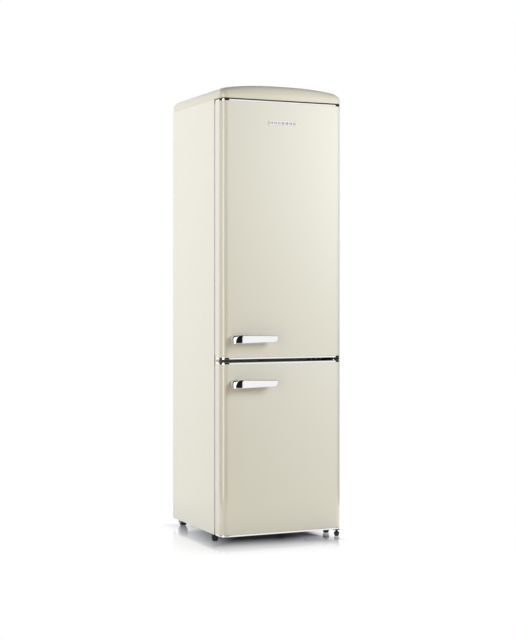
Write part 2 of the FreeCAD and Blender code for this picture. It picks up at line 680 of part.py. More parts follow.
def make_hinges():
    """Three steel brackets, the pins riveted into them and the screws that hold them."""
    pin_hole = ("hinge_x", "hinge_y", "pin")
    arm_right = "(hinge_x + 12)"
    arm_left = "(hinge_x - 16)"
    arm_front = "(hinge_y - 12)"
    top = keep(new_body("top_hinge"))
    pad(top, "XY", "carcass_top", "carcass_top + 3", [
        (arm_left, arm_front, "10"), (arm_right, arm_front, "10"), (arm_right, "-140"),
        ("160", "-140"), ("160", "-172"), (arm_left, "-172")], pin_hole)

    middle_arm = "(door_split - 2)"
    centre = keep(new_body("middle_hinge"))
    pad(centre, "XY", middle_arm, f"{middle_arm} + 4", [
        (arm_left, arm_front, "10"), (arm_right, arm_front, "10"), (arm_right, FRAME_FRONT),
        (arm_left, FRAME_FRONT)], pin_hole)
    pad(centre, "XZ", f"{FRAME_FRONT} - 3", FRAME_FRONT,
        rectangle("150", arm_right, "door_split - 15", "door_split + 15", "4"))

    lower = keep(new_body("lower_hinge"))
    pad(lower, "XY", "cabinet_floor - 6", "cabinet_floor - 2", [
        (arm_left, arm_front, "10"), (arm_right, arm_front, "10"), (arm_right, "-168"),
        (f"{arm_left} - 6", "-168"), (f"{arm_left} - 6", "-130"), ("160", "-130"), ("160", "-172"),
        (arm_left, "-172")])
    pad(lower, "XY", "cabinet_floor - 2", "cabinet_floor",
        rectangle("160", f"{arm_left} - 6", "-172", "-130"))
    cut(lower, "XY", "cabinet_floor - 7", "cabinet_floor - 3.5",
        ("hinge_x", "hinge_y", "pin + running_gap"))

    pins = (("top_pin", "carcass_top - 21", "24"), ("middle_pin", "door_split - 24", "48"),
            ("lower_pin", "cabinet_floor - 2", "26"))
    group("hinge_pins", [rod(name, ALONG_Z, "hinge_x", "hinge_y", start, "pin", length)
                         for name, start, length in pins])

    screws = []
    for number_, x in enumerate(("172", "196"), start=1):
        screws.append(rod(f"top_screw_{number_}", ALONG_Z, x, "-156", "carcass_top + 3", "4.5", "2.5"))
        screws.append(rod(f"lower_screw_{number_}", ALONG_Z, x, "-151", "cabinet_floor - 8.5", "4.5", "2.5"))
    for number_, x in enumerate(("163", "186", "209"), start=1):
        screws.append(rod(f"middle_screw_{number_}", ALONG_Y, x, f"{FRAME_FRONT} - 5.5", "door_split",
                          "4.5", "2.5"))
    group("hinge_screws", screws)


def make_feet():
    """Two knurled levelling feet under the cabinet and a slim one under the lower hinge."""
    for label, side in (("foot_left", "-1"), ("foot_right", "1")):
        keep(turned_body(label, f"{side} * foot_x", "foot_y", "0", [
            ("0", "0"), ("foot_radius - 3", "0"), ("foot_radius - 1", "2"), ("foot_radius", "16"),
            ("foot_radius", "22"), ("pin", "24"), ("pin", "cabinet_floor + 2"),
            ("0", "cabinet_floor + 2")]))
    keep(turned_body("hinge_foot", "hinge_x", "hinge_y", "0", [
        ("0", "0"), ("8.5", "0"), ("11", "8"), ("11", "14"), ("pin + 1", "21"), ("pin", "21"),
        ("pin", "cabinet_floor - 4"), ("0", "cabinet_floor - 4")]))


def make_rollers():
    """The two rear rollers, their folded brackets and their axles."""
    brackets = []
    axles = []
    for name, side in (("left", -1), ("right", 1)):
        middle_x = f"{side} * roller_x"
        wheel = turned_body(f"roller_{name}", f"{middle_x} - roller_width / 2", "roller_y",
                            "roller_radius", [
            ("pin + running_gap", "0"), ("roller_radius - 3", "0"), ("roller_radius", "3"),
            ("roller_radius", "roller_width - 3"), ("roller_radius - 3", "roller_width"),
            ("pin + running_gap", "roller_width")], ALONG_X)
        keep(wheel)
        bracket = new_body(f"roller_bracket_{name}")
        inside, outside = "15", "17"
        pad(bracket, "XZ", "roller_y - 13", "roller_y + 13", [
            (f"{middle_x} - {outside}", "12"), (f"{middle_x} - {inside}", "12"),
            (f"{middle_x} - {inside}", "44"), (f"{middle_x} + {inside}", "44"),
            (f"{middle_x} + {inside}", "12"), (f"{middle_x} + {outside}", "12"),
            (f"{middle_x} + {outside}", "46"), (f"{middle_x} - {outside}", "46")])
        inner = f"{middle_x} - {side} * {outside}"
        flange_edge = f"{middle_x} - {side} * 34"
        pad(bracket, "XY", "cabinet_floor + 2", "cabinet_floor + 4", [
            (inner, "roller_y - 13"), (flange_edge, "roller_y - 13"),
            (flange_edge, "roller_y + 13"), (inner, "roller_y + 13")])
        cut(bracket, "YZ", f"{middle_x} - 20", f"{middle_x} + 20", ("roller_y", "roller_radius", "pin"))
        brackets.append(bracket)
        axles.append(rod(f"roller_axle_{name}", ALONG_X, f"{middle_x} - 19", "roller_y",
                         "roller_radius", "pin", "38"))
    group("roller_brackets", brackets)
    group("roller_axles", axles)


# ---------------------------------------------------------------- cooling circuit

def make_compressor():
    """The hermetic compressor, its relay box and the tray on top that dries the meltwater."""
    keep(turned_body("compressor", "-70", "200", "cabinet_floor + 2", [
        ("0", "0"), ("64", "0"), ("64", "10"), ("70", "24"), ("70", "96"), ("58", "124"),
        ("30", "136"), ("0", "136")]))
    relay = keep(new_body("relay_box"))
    pad(relay, "XY", "90", "134", rectangle("0", "34", "180", "222", "4"))
    tray = keep(new_body("evaporation_tray"))
    pad(tray, "XY", "cabinet_floor + 138", "cabinet_floor + 162",
        rectangle("-135", "-5", "140", "260", "12"))
    cut(tray, "XY", "cabinet_floor + 140", "cabinet_floor + 163",
        rectangle("-133", "-7", "142", "258", "10"))


def make_tubes():
    """The serpentine condenser behind the foam and the discharge tube that feeds it."""
    depth = number("cabinet_rear - 5.5")
    start_height = 350
    pitch = 48
    reach = 170
    sides = [reach, -reach] * 14
    points = [Vector(-reach, depth, start_height)]
    for run, side in enumerate(sides[:-1]):
        height = start_height + pitch * run
        points += [Vector(side, depth, height), Vector(side, depth, height + pitch)]
    points.append(Vector(sides[-1], depth, start_height + pitch * (len(sides) - 1)))
    keep(tube("condenser", points, 20, 2.4), "condenser")
    keep(tube("discharge_tube", [
        Vector(20, 165, 75), Vector(60, 165, 75), Vector(90, 165, 180), Vector(90, 240, 205),
        Vector(160, 240, 205)], 16, 3), "discharge_tube")


def make_dryer_and_inlet():
    """The filter dryer in the niche and the mains inlet on the base plate."""
    keep(turned_body("filter_dryer", "160", "240", "205", [
        ("0", "0"), ("3", "0"), ("9", "10"), ("9", "80"), ("3", "90"), ("0", "90")], ALONG_X))
    inlet = keep(new_body("mains_inlet"))
    low = "(cabinet_floor + 2)"
    pad(inlet, "XZ", "262", "cabinet_rear - 1", rectangle("120", "152", low, f"{low} + 26"))
    cut(inlet, "XZ", "272", "cabinet_rear", rectangle("124", "148", f"{low} + 5", f"{low} + 21", "3"))


def make_wall_spacers():
    """Two bumpers that keep the back off the wall."""
    spacers = []
    for name, side in (("left", "-1"), ("right", "1")):
        spacer = new_body(f"wall_spacer_{name}")
        rear = "cabinet_rear - 1"
        pad(spacer, "XZ", rear, "rear_limit", rectangle(
            f"{side} * 200 - 16", f"{side} * 200 + 16", "1640", "1690", "8"))
        spacers.append(spacer)
    group("wall_spacers", spacers)


def check_and_export():
    """Stop if anything failed to build, then write one file for each sub-part."""
    doc.recompute()
    for item in doc.Objects:
        if "Invalid" in item.State or "Error" in item.State:
            raise RuntimeError(f"{item.Label} failed: {item.State}")
    os.makedirs("parts", exist_ok=True)
    for label, item in subparts.items():
        shape = item.Shape
        if shape.isNull() or not shape.isValid() or not shape.Solids:
            raise RuntimeError(f"{label} has no sound solid")
        shape.exportStep(f"parts/{label}.step")
        print(f"{label}: {len(shape.Solids)} solid(s), {shape.Volume / 1000:.1f} cm3")


make_side_panel("side_panel_left", "-1")
make_side_panel("side_panel_right", "1")
make_top_cover()
make_rear_panel()
make_base_plate()
make_front_frame()
make_foam()
make_liners()
make_shelves()
make_lamp_and_thermostat()
make_freezer_evaporator()
make_door("fridge_door", FRIDGE_DOOR_LOW, "fridge_door_high", "handle_fridge")
make_door("freezer_door", "freezer_door_low", FREEZER_DOOR_HIGH, "handle_freezer")
make_bin("door_bin_bottom", "812", "110")
make_bin("door_bin_middle", "1160", "80")
make_bin("door_bin_top", "1480", "70")
make_badge()
make_drawer("crisper_drawer", "206", "-58", "222", "790", "972")
make_drawer("freezer_drawer_bottom", "212", "-118", "54", "74", "276")
make_drawer("freezer_drawer_middle", "212", "-118", "225", "296", "480")
make_drawer("freezer_drawer_top", "212", "-118", "225", "496", "690")
make_hinges()
make_feet()
make_rollers()
make_compressor()
make_tubes()
make_dryer_and_inlet()
make_wall_spacers()
check_and_export()
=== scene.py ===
import json
import math

import bmesh
import bpy
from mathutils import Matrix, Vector


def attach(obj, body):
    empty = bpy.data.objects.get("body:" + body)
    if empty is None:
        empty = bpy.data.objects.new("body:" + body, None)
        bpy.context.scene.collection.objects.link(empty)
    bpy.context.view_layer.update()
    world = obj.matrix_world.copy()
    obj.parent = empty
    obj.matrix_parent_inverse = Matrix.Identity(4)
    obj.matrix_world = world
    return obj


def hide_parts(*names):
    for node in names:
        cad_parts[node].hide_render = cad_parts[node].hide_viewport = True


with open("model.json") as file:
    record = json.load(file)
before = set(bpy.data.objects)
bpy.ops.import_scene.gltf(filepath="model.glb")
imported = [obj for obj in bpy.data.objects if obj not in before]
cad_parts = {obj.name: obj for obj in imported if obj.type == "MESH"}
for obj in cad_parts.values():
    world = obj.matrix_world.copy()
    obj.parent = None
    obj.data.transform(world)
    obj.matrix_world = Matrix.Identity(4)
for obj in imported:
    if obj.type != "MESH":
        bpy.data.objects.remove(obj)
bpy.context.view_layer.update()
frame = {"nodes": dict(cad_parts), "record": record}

scene = bpy.context.scene
MM = 0.001


def box_of(node):
    """The low and the high corner of a CAD node, in millimetres rounded to a tenth."""
    places = [vertex.co for vertex in frame["nodes"][node].data.vertices]
    return [[round(pick(place[axis] for place in places) / MM, 1) for axis in range(3)]
            for pick in (min, max)]


def middle_of(node):
    """The middle of a CAD node's box, in millimetres."""
    return [(low + high) / 2 for low, high in zip(*box_of(node))]


# Main sizes in millimetres. All but the doors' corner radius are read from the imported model.
CAP_LOW_CORNER, CAP_HIGH_CORNER = box_of("top_cover")
HALF, REAR, PEAK = CAP_HIGH_CORNER
FRONT, CAP_LOW = CAP_LOW_CORNER[1:]
DOOR_BACK = box_of("fridge_door_skin")[1][1]
FRAME_FRONT = box_of("front_frame")[0][1]
DOORS = {door: [corner[2] for corner in box_of(door + "_trims")] for door in ("fridge_door", "freezer_door")}
TRIM = box_of("fridge_door_skin")[0][2] - DOORS["fridge_door"][0]
HINGE_AXIS = middle_of("hinge_foot")[:2]
CORNER = 28


# ---------------------------------------------------------------- camera, floor and light

def make_camera():
    data = bpy.data.cameras.new("camera")
    data.lens = 81.3
    data.sensor_width = 36
    data.shift_y = -0.0489
    camera = bpy.data.objects.new("camera", data)
    camera.location = (-2.480, -5.622, 1.030)
    camera.rotation_euler = (math.radians(90), 0, math.radians(-23.85))
    scene.collection.objects.link(camera)
    scene.camera = camera


def add(nodes, kind, **values):
    """A shader node with some of its settings and sockets filled in."""
    node = nodes.new(kind)
    for key, value in values.items():
        if key in node.inputs:
            node.inputs[key].default_value = value
        else:
            setattr(node, key, value)
    return node


def math_node(tree, operation, first, second):
    node = tree.nodes.new("ShaderNodeMath")
    node.operation = operation
    for socket, value in zip(node.inputs, (first, second)):
        if isinstance(value, (int, float)):
            socket.default_value = value
        else:
            tree.links.new(value, socket)
    return node.outputs[0]


def ramp(tree, factor, stops):
    """A colour ramp in greys or colours; stops are (position, value)."""
    node = tree.nodes.new("ShaderNodeValToRGB")
    elements = node.color_ramp.elements
    while len(elements) < len(stops):
        elements.new(0.5)
    for element, (position, value) in zip(elements, stops):
        element.position = position
        element.color = (value, value, value, 1) if isinstance(value, (int, float)) else (*value, 1)
    tree.links.new(factor, node.inputs["Fac"])
    return node.outputs["Color"]


# Brightness of the studio by direction, in degrees from the doors' side towards the left.
STUDIO = ((-180, 1.1), (-149, 1.1), (-144, 0.03), (-46, 0.03), (-39, 0.96), (-20, 0.96), (-16, 0.012),
          (40, 0.012), (50, 3.4), (66, 3.4), (76, 0.02), (144, 0.01), (154, 1.1), (180, 1.1))
# The share of that brightness by height, from the horizon to straight up.
STUDIO_HEIGHT = ((0.0, 1.0), (0.35, 1.0), (0.6, 0.2), (1.0, 0.15))


def make_world():
    """White studio with dark flags between its soft boxes; the camera itself sees plain white."""
    world = bpy.data.worlds.new("studio")
    world.use_nodes = True
    scene.world = world
    tree = world.node_tree
    background = tree.nodes["Background"]
    direction = add(tree.nodes, "ShaderNodeTexCoord")
    split = add(tree.nodes, "ShaderNodeSeparateXYZ")
    tree.links.new(direction.outputs["Generated"], split.inputs[0])
    left = math_node(tree, "MULTIPLY", split.outputs["X"], -1.0)
    front = math_node(tree, "MULTIPLY", split.outputs["Y"], -1.0)
    angle = math_node(tree, "ARCTAN2", left, front)
    turn = math_node(tree, "ADD", math_node(tree, "DIVIDE", angle, 2 * math.pi), 0.5)
    around = ramp(tree, turn, [((degrees + 180) / 360, value) for degrees, value in STUDIO])
    height = ramp(tree, split.outputs["Z"], STUDIO_HEIGHT)
    mix = add(tree.nodes, "ShaderNodeMix", data_type="RGBA", blend_type="MULTIPLY")
    mix.inputs["Factor"].default_value = 1.0
    tree.links.new(around, mix.inputs["A"])
    tree.links.new(height, mix.inputs["B"])
    tree.links.new(mix.outputs["Result"], background.inputs["Color"])
    background.inputs["Strength"].default_value = 1.0
    white = add(tree.nodes, "ShaderNodeBackground", Strength=1.0)
    white.inputs["Color"].default_value = (1, 1, 1, 1)
    path = add(tree.nodes, "ShaderNodeLightPath")
    choose = add(tree.nodes, "ShaderNodeMixShader")
    tree.links.new(path.outputs["Is Camera Ray"], choose.inputs["Fac"])
    tree.links.new(background.outputs[0], choose.inputs[1])
    tree.links.new(white.outputs[0], choose.inputs[2])
    tree.links.new(choose.outputs[0], tree.nodes["World Output"].inputs["Surface"])


# Soft boxes: name, place, target, width, height and power, in metres and watts.
LIGHTS = (("right_front_box", (1.9, -1.9, 2.0), (0.2, -0.2, 1.35), 0.9, 1.5, 86),
          ("left_box", (-2.6, 0.3, 1.8), (-0.27, 0.0, 1.2), 1.2, 2.0, 43))
LIGHT_COLOR = (0.86, 0.97, 1.2)


def make_light(name, place, target, width, height, power):
    data = bpy.data.lights.new(name, "AREA")
    data.shape = "RECTANGLE"
    data.size = width
    data.size_y = height
    data.energy = power
    data.color = LIGHT_COLOR
    light = bpy.data.objects.new(name, data)
    light.location = place
    aim = Vector(target) - Vector(place)
    light.rotation_euler = aim.to_track_quat("-Z", "Y").to_euler()
    light.visible_glossy = False
    scene.collection.objects.link(light)


# Sides of the painted shadow under the cabinet, in metres, where the floor's glow is dimmed. Its front edge
# slants and its right side is steep.
SHADOW_LEFT, SHADOW_RIGHT, SHADOW_REAR = -0.276, 0.235, 0.293
SHADOW_FRONT, SHADOW_SLANT, SHADOW_STEEPNESS = -0.286, 0.11, 2.0
FLOOR_REACH = 0.8


def make_floor():
    """A white glowing floor with a painted shadow under the cabinet, which mirrors the cabinet a little close
    by.
    """
    mesh = bpy.data.meshes.new("floor")
    corners = [(x * FLOOR_REACH, y * FLOOR_REACH, 0) for x, y in ((-1, -1), (1, -1), (1, 1), (-1, 1))]
    mesh.from_pydata(corners, [], [(0, 1, 2, 3)])
    floor = bpy.data.objects.new("floor", mesh)
    scene.collection.objects.link(floor)
    material = bpy.data.materials.new("floor")
    material.use_nodes = True
    tree = material.node_tree
    tree.nodes.remove(tree.nodes["Principled BSDF"])
    coord = add(tree.nodes, "ShaderNodeTexCoord")
    place = add(tree.nodes, "ShaderNodeSeparateXYZ")
    tree.links.new(coord.outputs["Object"], place.inputs[0])
    x, y = place.outputs["X"], place.outputs["Y"]
    left = math_node(tree, "SUBTRACT", SHADOW_LEFT, x)
    right = math_node(tree, "MULTIPLY", math_node(tree, "SUBTRACT", x, SHADOW_RIGHT), SHADOW_STEEPNESS)
    across = math_node(tree, "MAXIMUM", left, right)
    edge = math_node(tree, "SUBTRACT", SHADOW_FRONT, math_node(tree, "MULTIPLY", x, SHADOW_SLANT))
    along = math_node(tree, "MAXIMUM", math_node(tree, "SUBTRACT", edge, y),
                      math_node(tree, "SUBTRACT", y, SHADOW_REAR))
    outside_x = math_node(tree, "MAXIMUM", across, 0.0)
    outside_y = math_node(tree, "MAXIMUM", along, 0.0)
    squares = math_node(tree, "ADD", math_node(tree, "MULTIPLY", outside_x, outside_x),
                        math_node(tree, "MULTIPLY", outside_y, outside_y))
    inside = math_node(tree, "MINIMUM", math_node(tree, "MAXIMUM", across, along), 0.0)
    distance = math_node(tree, "ADD", math_node(tree, "SQRT", squares, 0.0), inside)

    def fade(start, end, first, last):
        """A smooth change from one value to another over a range of distances from the painted shadow's edge.
        """
        node = add(tree.nodes, "ShaderNodeMapRange", interpolation_type="SMOOTHSTEP")
        for key, value in zip(("From Min", "From Max", "To Min", "To Max"), (start, end, first, last)):
            node.inputs[key].default_value = value
        tree.links.new(distance, node.inputs["Value"])
        return node.outputs["Result"]

    glow = add(tree.nodes, "ShaderNodeEmission")
    glow.inputs["Color"].default_value = (1, 1, 1, 1)
    # Painted shadow: the floor's glow fades from white to nearly dark towards and under the cabinet.
    painted_shadow_glow = fade(-0.11, 0.075, 0.01, 1.0)
    tree.links.new(painted_shadow_glow, glow.inputs["Strength"])
    mirror = add(tree.nodes, "ShaderNodeBsdfGlossy", Roughness=0.12)
    mirror.inputs["Color"].default_value = (0.95, 0.95, 1.0, 1)
    mix = add(tree.nodes, "ShaderNodeMixShader")
    mirror_inside = fade(-0.15, -0.05, 0.15, 1.0)
    mirror_outside = fade(-0.02, 0.27, 0.52, 0.0)
    share = math_node(tree, "MULTIPLY", mirror_inside, mirror_outside)
    tree.links.new(share, mix.inputs["Fac"])
    tree.links.new(glow.outputs[0], mix.inputs[1])
    tree.links.new(mirror.outputs[0], mix.inputs[2])
    tree.links.new(mix.outputs[0], tree.nodes["Material Output"].inputs["Surface"])
    floor.data.materials.append(material)


# ---------------------------------------------------------------- materials

MATERIALS = {}


def finish(slot, color, roughness, tone=0.03, tone_scale=3.0, spread=0.04, grain=0.0, grain_scale=300.0,
           stretch=(1, 1, 1), spangle=0.0, **sockets):
    """A procedural material: drifting tone, uneven roughness and a fine surface grain."""
    material = bpy.data.materials.new(slot)
    material.use_nodes = True
    tree = material.node_tree
    shader = tree.nodes["Principled BSDF"]
    for key, value in sockets.items():
        shader.inputs[key.replace("_", " ")].default_value = value
    coord = add(tree.nodes, "ShaderNodeTexCoord")
    mapping = add(tree.nodes, "ShaderNodeMapping")
    mapping.inputs["Scale"].default_value = stretch
    tree.links.new(coord.outputs["Object"], mapping.inputs["Vector"])

    def noise(scale, detail):
        node = add(tree.nodes, "ShaderNodeTexNoise", Scale=scale, Detail=detail)
        tree.links.new(mapping.outputs[0], node.inputs["Vector"])
        return node.outputs["Fac"]

    drift = noise(tone_scale, 3.0)
    if spangle:
        cells = add(tree.nodes, "ShaderNodeTexVoronoi", Scale=tone_scale)
        tree.links.new(mapping.outputs[0], cells.inputs["Vector"])
        split = add(tree.nodes, "ShaderNodeSeparateColor")
        tree.links.new(cells.outputs["Color"], split.inputs[0])
        drift = split.outputs[0]
    dark = [channel * (1 - tone) for channel in color]
    light = [min(1.0, channel * (1 + tone)) for channel in color]
    tree.links.new(ramp(tree, drift, [(0.3, dark), (0.7, light)]), shader.inputs["Base Color"])
    uneven = add(tree.nodes, "ShaderNodeMapRange")
    uneven.inputs["To Min"].default_value = max(0.0, roughness - spread)
    uneven.inputs["To Max"].default_value = roughness + spread
    tree.links.new(noise(tone_scale * 6, 4.0), uneven.inputs["Value"])
    tree.links.new(uneven.outputs["Result"], shader.inputs["Roughness"])
    if grain:
        bump = add(tree.nodes, "ShaderNodeBump", Strength=grain, Distance=0.0004)
        tree.links.new(noise(grain_scale, 2.0), bump.inputs["Height"])
        tree.links.new(bump.outputs[0], shader.inputs["Normal"])
    MATERIALS[slot] = material


def make_materials():
    cream = (0.66, 0.60, 0.445)
    finish("cream_enamel", cream, 0.28, tone=0.003, tone_scale=1.2, spread=0.01, grain=0.02, grain_scale=420,
           Coat_Weight=1.0, Coat_Roughness=0.05, Coat_IOR=1.6)
    finish("cream_moulding", (0.61, 0.54, 0.38), 0.34, tone=0.003, tone_scale=1.2, spread=0.01,
           grain=0.03, grain_scale=600, Coat_Weight=0.7, Coat_Roughness=0.09, Coat_IOR=1.6)
    finish("seal_rubber", (0.50, 0.49, 0.45), 0.62, tone=0.05, tone_scale=20, grain=0.25, grain_scale=900)
    finish("bright_chrome", (0.93, 0.93, 0.94), 0.05, tone=0.01, tone_scale=12, spread=0.02, grain=0.015,
           grain_scale=200, Metallic=1.0)
    finish("liner_white", (0.86, 0.87, 0.87), 0.32, tone=0.015, tone_scale=4, grain=0.10, grain_scale=800)
    finish("clear_plastic", (0.86, 0.93, 0.96), 0.12, tone=0.02, tone_scale=8, spread=0.03, grain=0.05,
           grain_scale=250, Transmission_Weight=0.88, IOR=1.49)
    finish("shelf_glass", (0.86, 0.96, 0.93), 0.03, tone=0.01, tone_scale=6, spread=0.02,
           Transmission_Weight=0.96, IOR=1.5)
    finish("shelf_trim", (0.82, 0.83, 0.84), 0.34, tone=0.02, tone_scale=10, grain=0.1, grain_scale=700)
    finish("lamp_white", (0.87, 0.87, 0.86), 0.36, tone=0.02, tone_scale=12, grain=0.12, grain_scale=900)
    finish("lamp_diffuser", (0.93, 0.93, 0.90), 0.45, tone=0.02, tone_scale=14, grain=0.2, grain_scale=700,
           Transmission_Weight=0.35)
    finish("cold_plate", (0.70, 0.72, 0.74), 0.38, tone=0.06, tone_scale=9, spread=0.1, grain=0.15,
           grain_scale=260, Metallic=1.0)
    finish("insulation", (0.72, 0.60, 0.34), 0.9, tone=0.12, tone_scale=22, grain=0.9, grain_scale=160)
    finish("galvanised", (0.52, 0.55, 0.58), 0.42, tone=0.07, tone_scale=260, spread=0.08, grain=0.06,
           grain_scale=120, spangle=1.0, Metallic=0.9)
    finish("hinge_steel", (0.018, 0.018, 0.02), 0.38, tone=0.2, tone_scale=30, grain=0.2, grain_scale=700)
    finish("pin_steel", (0.55, 0.55, 0.56), 0.26, tone=0.06, tone_scale=40, spread=0.08, grain=0.1,
           grain_scale=500, stretch=(1, 1, 6), Metallic=1.0)
    finish("foot_black", (0.016, 0.016, 0.018), 0.46, tone=0.25, tone_scale=40, grain=0.3, grain_scale=900)
    finish("compressor_black", (0.014, 0.014, 0.015), 0.34, tone=0.25, tone_scale=16, grain=0.25,
           grain_scale=260)
    finish("tray_grey", (0.055, 0.06, 0.065), 0.5, tone=0.15, tone_scale=20, grain=0.3, grain_scale=700)
    finish("copper", (0.72, 0.33, 0.18), 0.30, tone=0.18, tone_scale=26, spread=0.12, grain=0.12,
           grain_scale=400, Metallic=1.0)
    finish("condenser_steel", (0.022, 0.022, 0.024), 0.36, tone=0.25, tone_scale=30, grain=0.2,
           grain_scale=500)
    finish("spacer_black", (0.02, 0.02, 0.022), 0.5, tone=0.2, tone_scale=30, grain=0.3, grain_scale=800)


# ---------------------------------------------------------------- mesh helpers

SLOT_OF = {part["node"]: part["material_slot"] for part in frame["record"]["subparts"]}
BODY_OF = {node: body for body, nodes in frame["record"]["behaviour"]["bodies"].items() for node in nodes}


def piece(name, mesh, nodes, slot=None, body=None, sharp=35):
    """Put a mesh in the scene: it rides with the CAD nodes that it stands for, in their finish."""
    slot = slot or SLOT_OF[nodes[0]]
    body = body or BODY_OF[nodes[0]]
    mesh.validate()
    mesh.shade_smooth()
    mesh.set_sharp_from_angle(angle=math.radians(sharp))
    mesh.materials.clear()
    mesh.materials.append(MATERIALS[slot])
    item = bpy.data.objects.new(name, mesh)
    scene.collection.objects.link(item)
    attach(item, body)
    if nodes:
        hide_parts(*nodes)
    return item


def lerp(start, end, share):
    return start + (end - start) * share


def pulled_in(radius, distance):
    """How far an edge rounded by a radius pulls in at a distance from its end."""
    return radius - math.sqrt(radius ** 2 - max(0.0, radius - distance) ** 2)


def mesh_of(name, points, faces):
    """A mesh from points in millimetres, with its faces turned outwards."""
    mesh = bpy.data.meshes.new(name)
    mesh.from_pydata([tuple(value * MM for value in point) for point in points], [], faces)
    work = bmesh.new()
    work.from_mesh(mesh)
    bmesh.ops.remove_doubles(work, verts=work.verts, dist=1e-6)
    bmesh.ops.recalc_face_normals(work, faces=work.faces)
    work.to_mesh(mesh)
    work.free()
    return mesh


def neighbours(count, wrap):
    """Pairs of following indices, and the pair of the last and the first where they wrap."""
    return [(i, (i + 1) % count) for i in range(count if wrap else count - 1)]


def grid_faces(rows, columns, wrap_rows, wrap_columns):
    """Four-sided faces between the points of a grid, numbered row by row."""
    return [(row * columns + i, row * columns + j, following * columns + j, following * columns + i)
            for row, following in neighbours(rows, wrap_rows) for i, j in neighbours(columns, wrap_columns)]


def rings(name, loops, ends=True):
    """A skin through equal closed rings of points, with its first and last ring filled."""
    count = len(loops[0])
    points = [point for loop in loops for point in loop]
    faces = grid_faces(len(loops), count, False, True)
    if ends:
        faces.append(tuple(range(count)))
        faces.append(tuple(range((len(loops) - 1) * count, len(loops) * count)))
    return mesh_of(name, points, faces)


def joined(name, meshes):
    """One mesh made of several, which are used up."""
    work = bmesh.new()
    for mesh in meshes:
        work.from_mesh(mesh)
        bpy.data.meshes.remove(mesh)
    mesh = bpy.data.meshes.new(name)
    work.to_mesh(mesh)
    work.free()
    return mesh


def turned(name, centre, profile, axis="z", segments=48, flutes=0, depth=0.0, fluted=(0, 0), bored=False):
    """Turn a (radius, height) profile about an axis; flutes dent the rows inside a height range."""
    loops = []
    for radius, height in profile:
        loop = []
        for step in range(segments):
            angle = 2 * math.pi * step / segments
            reach = radius
            if flutes and fluted[0] <= height <= fluted[1]:
                reach -= depth * (0.5 + 0.5 * math.cos(flutes * angle))
            across, up = reach * math.cos(angle), reach * math.sin(angle)
            offset = {"x": (height, across, up), "y": (across, height, up), "z": (across, up, height)}[axis]
            loop.append(tuple(c + o for c, o in zip(centre, offset)))
        loops.append(loop)
    return rings(name, loops + loops[:1], ends=False) if bored else rings(name, loops)


def rounded(x_low, x_high, y_low, y_high, near, far, steps=5):
    """A rectangle with its corners rounded by one radius at the low-y side and one at the high-y side."""
    loop = []
    for x, y, start in ((x_high, y_high, 0), (x_low, y_high, 90), (x_low, y_low, 180), (x_high, y_low, 270)):
        radius = far if y == y_high else near
        centre_x = x - radius if x == x_high else x + radius
        centre_y = y - radius if y == y_high else y + radius
        for step in range(steps + 1):
            angle = math.radians(start + 90 * step / steps)
            loop.append((centre_x + radius * math.cos(angle), centre_y + radius * math.sin(angle)))
    return loop


def moulded(name, box, radii, rows):
    """A moulding whose plan is a rounded rectangle; each row gives how far it pulls in, and its height."""
    x_low, x_high, y_low, y_high = box
    loops = []
    for inset, height in rows:
        near, far = (max(radius - inset, 0.3) for radius in radii)
        plan = rounded(x_low + inset, x_high - inset, y_low + inset, y_high - inset, near, far)
        loops.append([(x, y, height) for x, y in plan])
    return rings(name, loops)


def block(box, low, high, radius=1.0, roll=0.6):
    """A small block with its edges rolled over."""
    rows = [(roll, low), (roll * 0.3, low + roll * 0.3), (0, low + roll),
            (0, high - roll), (roll * 0.3, high - roll * 0.3), (roll, high)]
    return moulded("block", box, (radius, radius), rows)


def screw_head(centre, axis, sense, radius, height):
    """A domed screw head with a cross recess, pointing along an axis."""
    rows = ((1, 0), (1, 0.35), (0.9, 0.72), (0.68, 0.93), (0.5, 1), (0.44, 1), (0.3, 1), (0.16, 1), (0.09, 1))
    loops = []
    for share, rise in rows:
        loop = []
        for step in range(40):
            angle = 2 * math.pi * step / 40
            u, v = share * math.cos(angle), share * math.sin(angle)
            recess = 0.65 if share < 0.45 and min(abs(u), abs(v)) < 0.1 else 0.0
            up = sense * height * (rise - recess)
            offset = (radius * u, up, radius * v) if axis == "y" else (radius * u, radius * v, up)
            loop.append(tuple(c + o for c, o in zip(centre, offset)))
        loops.append(loop)
    return rings("screw_head", loops)


def softened(node, width, extras=()):
    """Put in a copy of a CAD node, with any extra meshes, and roll over its hard edges."""
    work = bmesh.new()
    work.from_mesh(frame["nodes"][node].data)
    bmesh.ops.remove_doubles(work, verts=work.verts, dist=2e-6)
    bmesh.ops.dissolve_limit(work, angle_limit=math.radians(0.6), verts=work.verts, edges=work.edges)
    mesh = bpy.data.meshes.new(node + "_finished")
    work.to_mesh(mesh)
    work.free()
    if extras:
        mesh = joined(node + "_finished", [mesh, *extras])
    item = piece(node + "_finished", mesh, [node])
    bevel = item.modifiers.new("roll", "BEVEL")
    bevel.width = width * MM
    bevel.segments = 2
    bevel.limit_method = "ANGLE"
    bevel.angle_limit = math.radians(30)
    bevel.harden_normals = True


# ---------------------------------------------------------------- doors

def door_outline(inset, rear, spread, steps=14):
    """Plan of a door's sides, front and corners, which are rounded over a spread of its width."""
    points = [(-HALF + inset, rear)]
    for side in (-1, 1):
        arc = []
        for step in range(steps + 1):
            angle = math.pi / 2 * step / steps
            arc.append((side * (HALF - spread + (spread - inset) * math.cos(angle)),
                        FRONT + CORNER - (CORNER - inset) * math.sin(angle)))
        points += arc if side < 0 else arc[::-1]
    points.append((HALF - inset, rear))
    return points


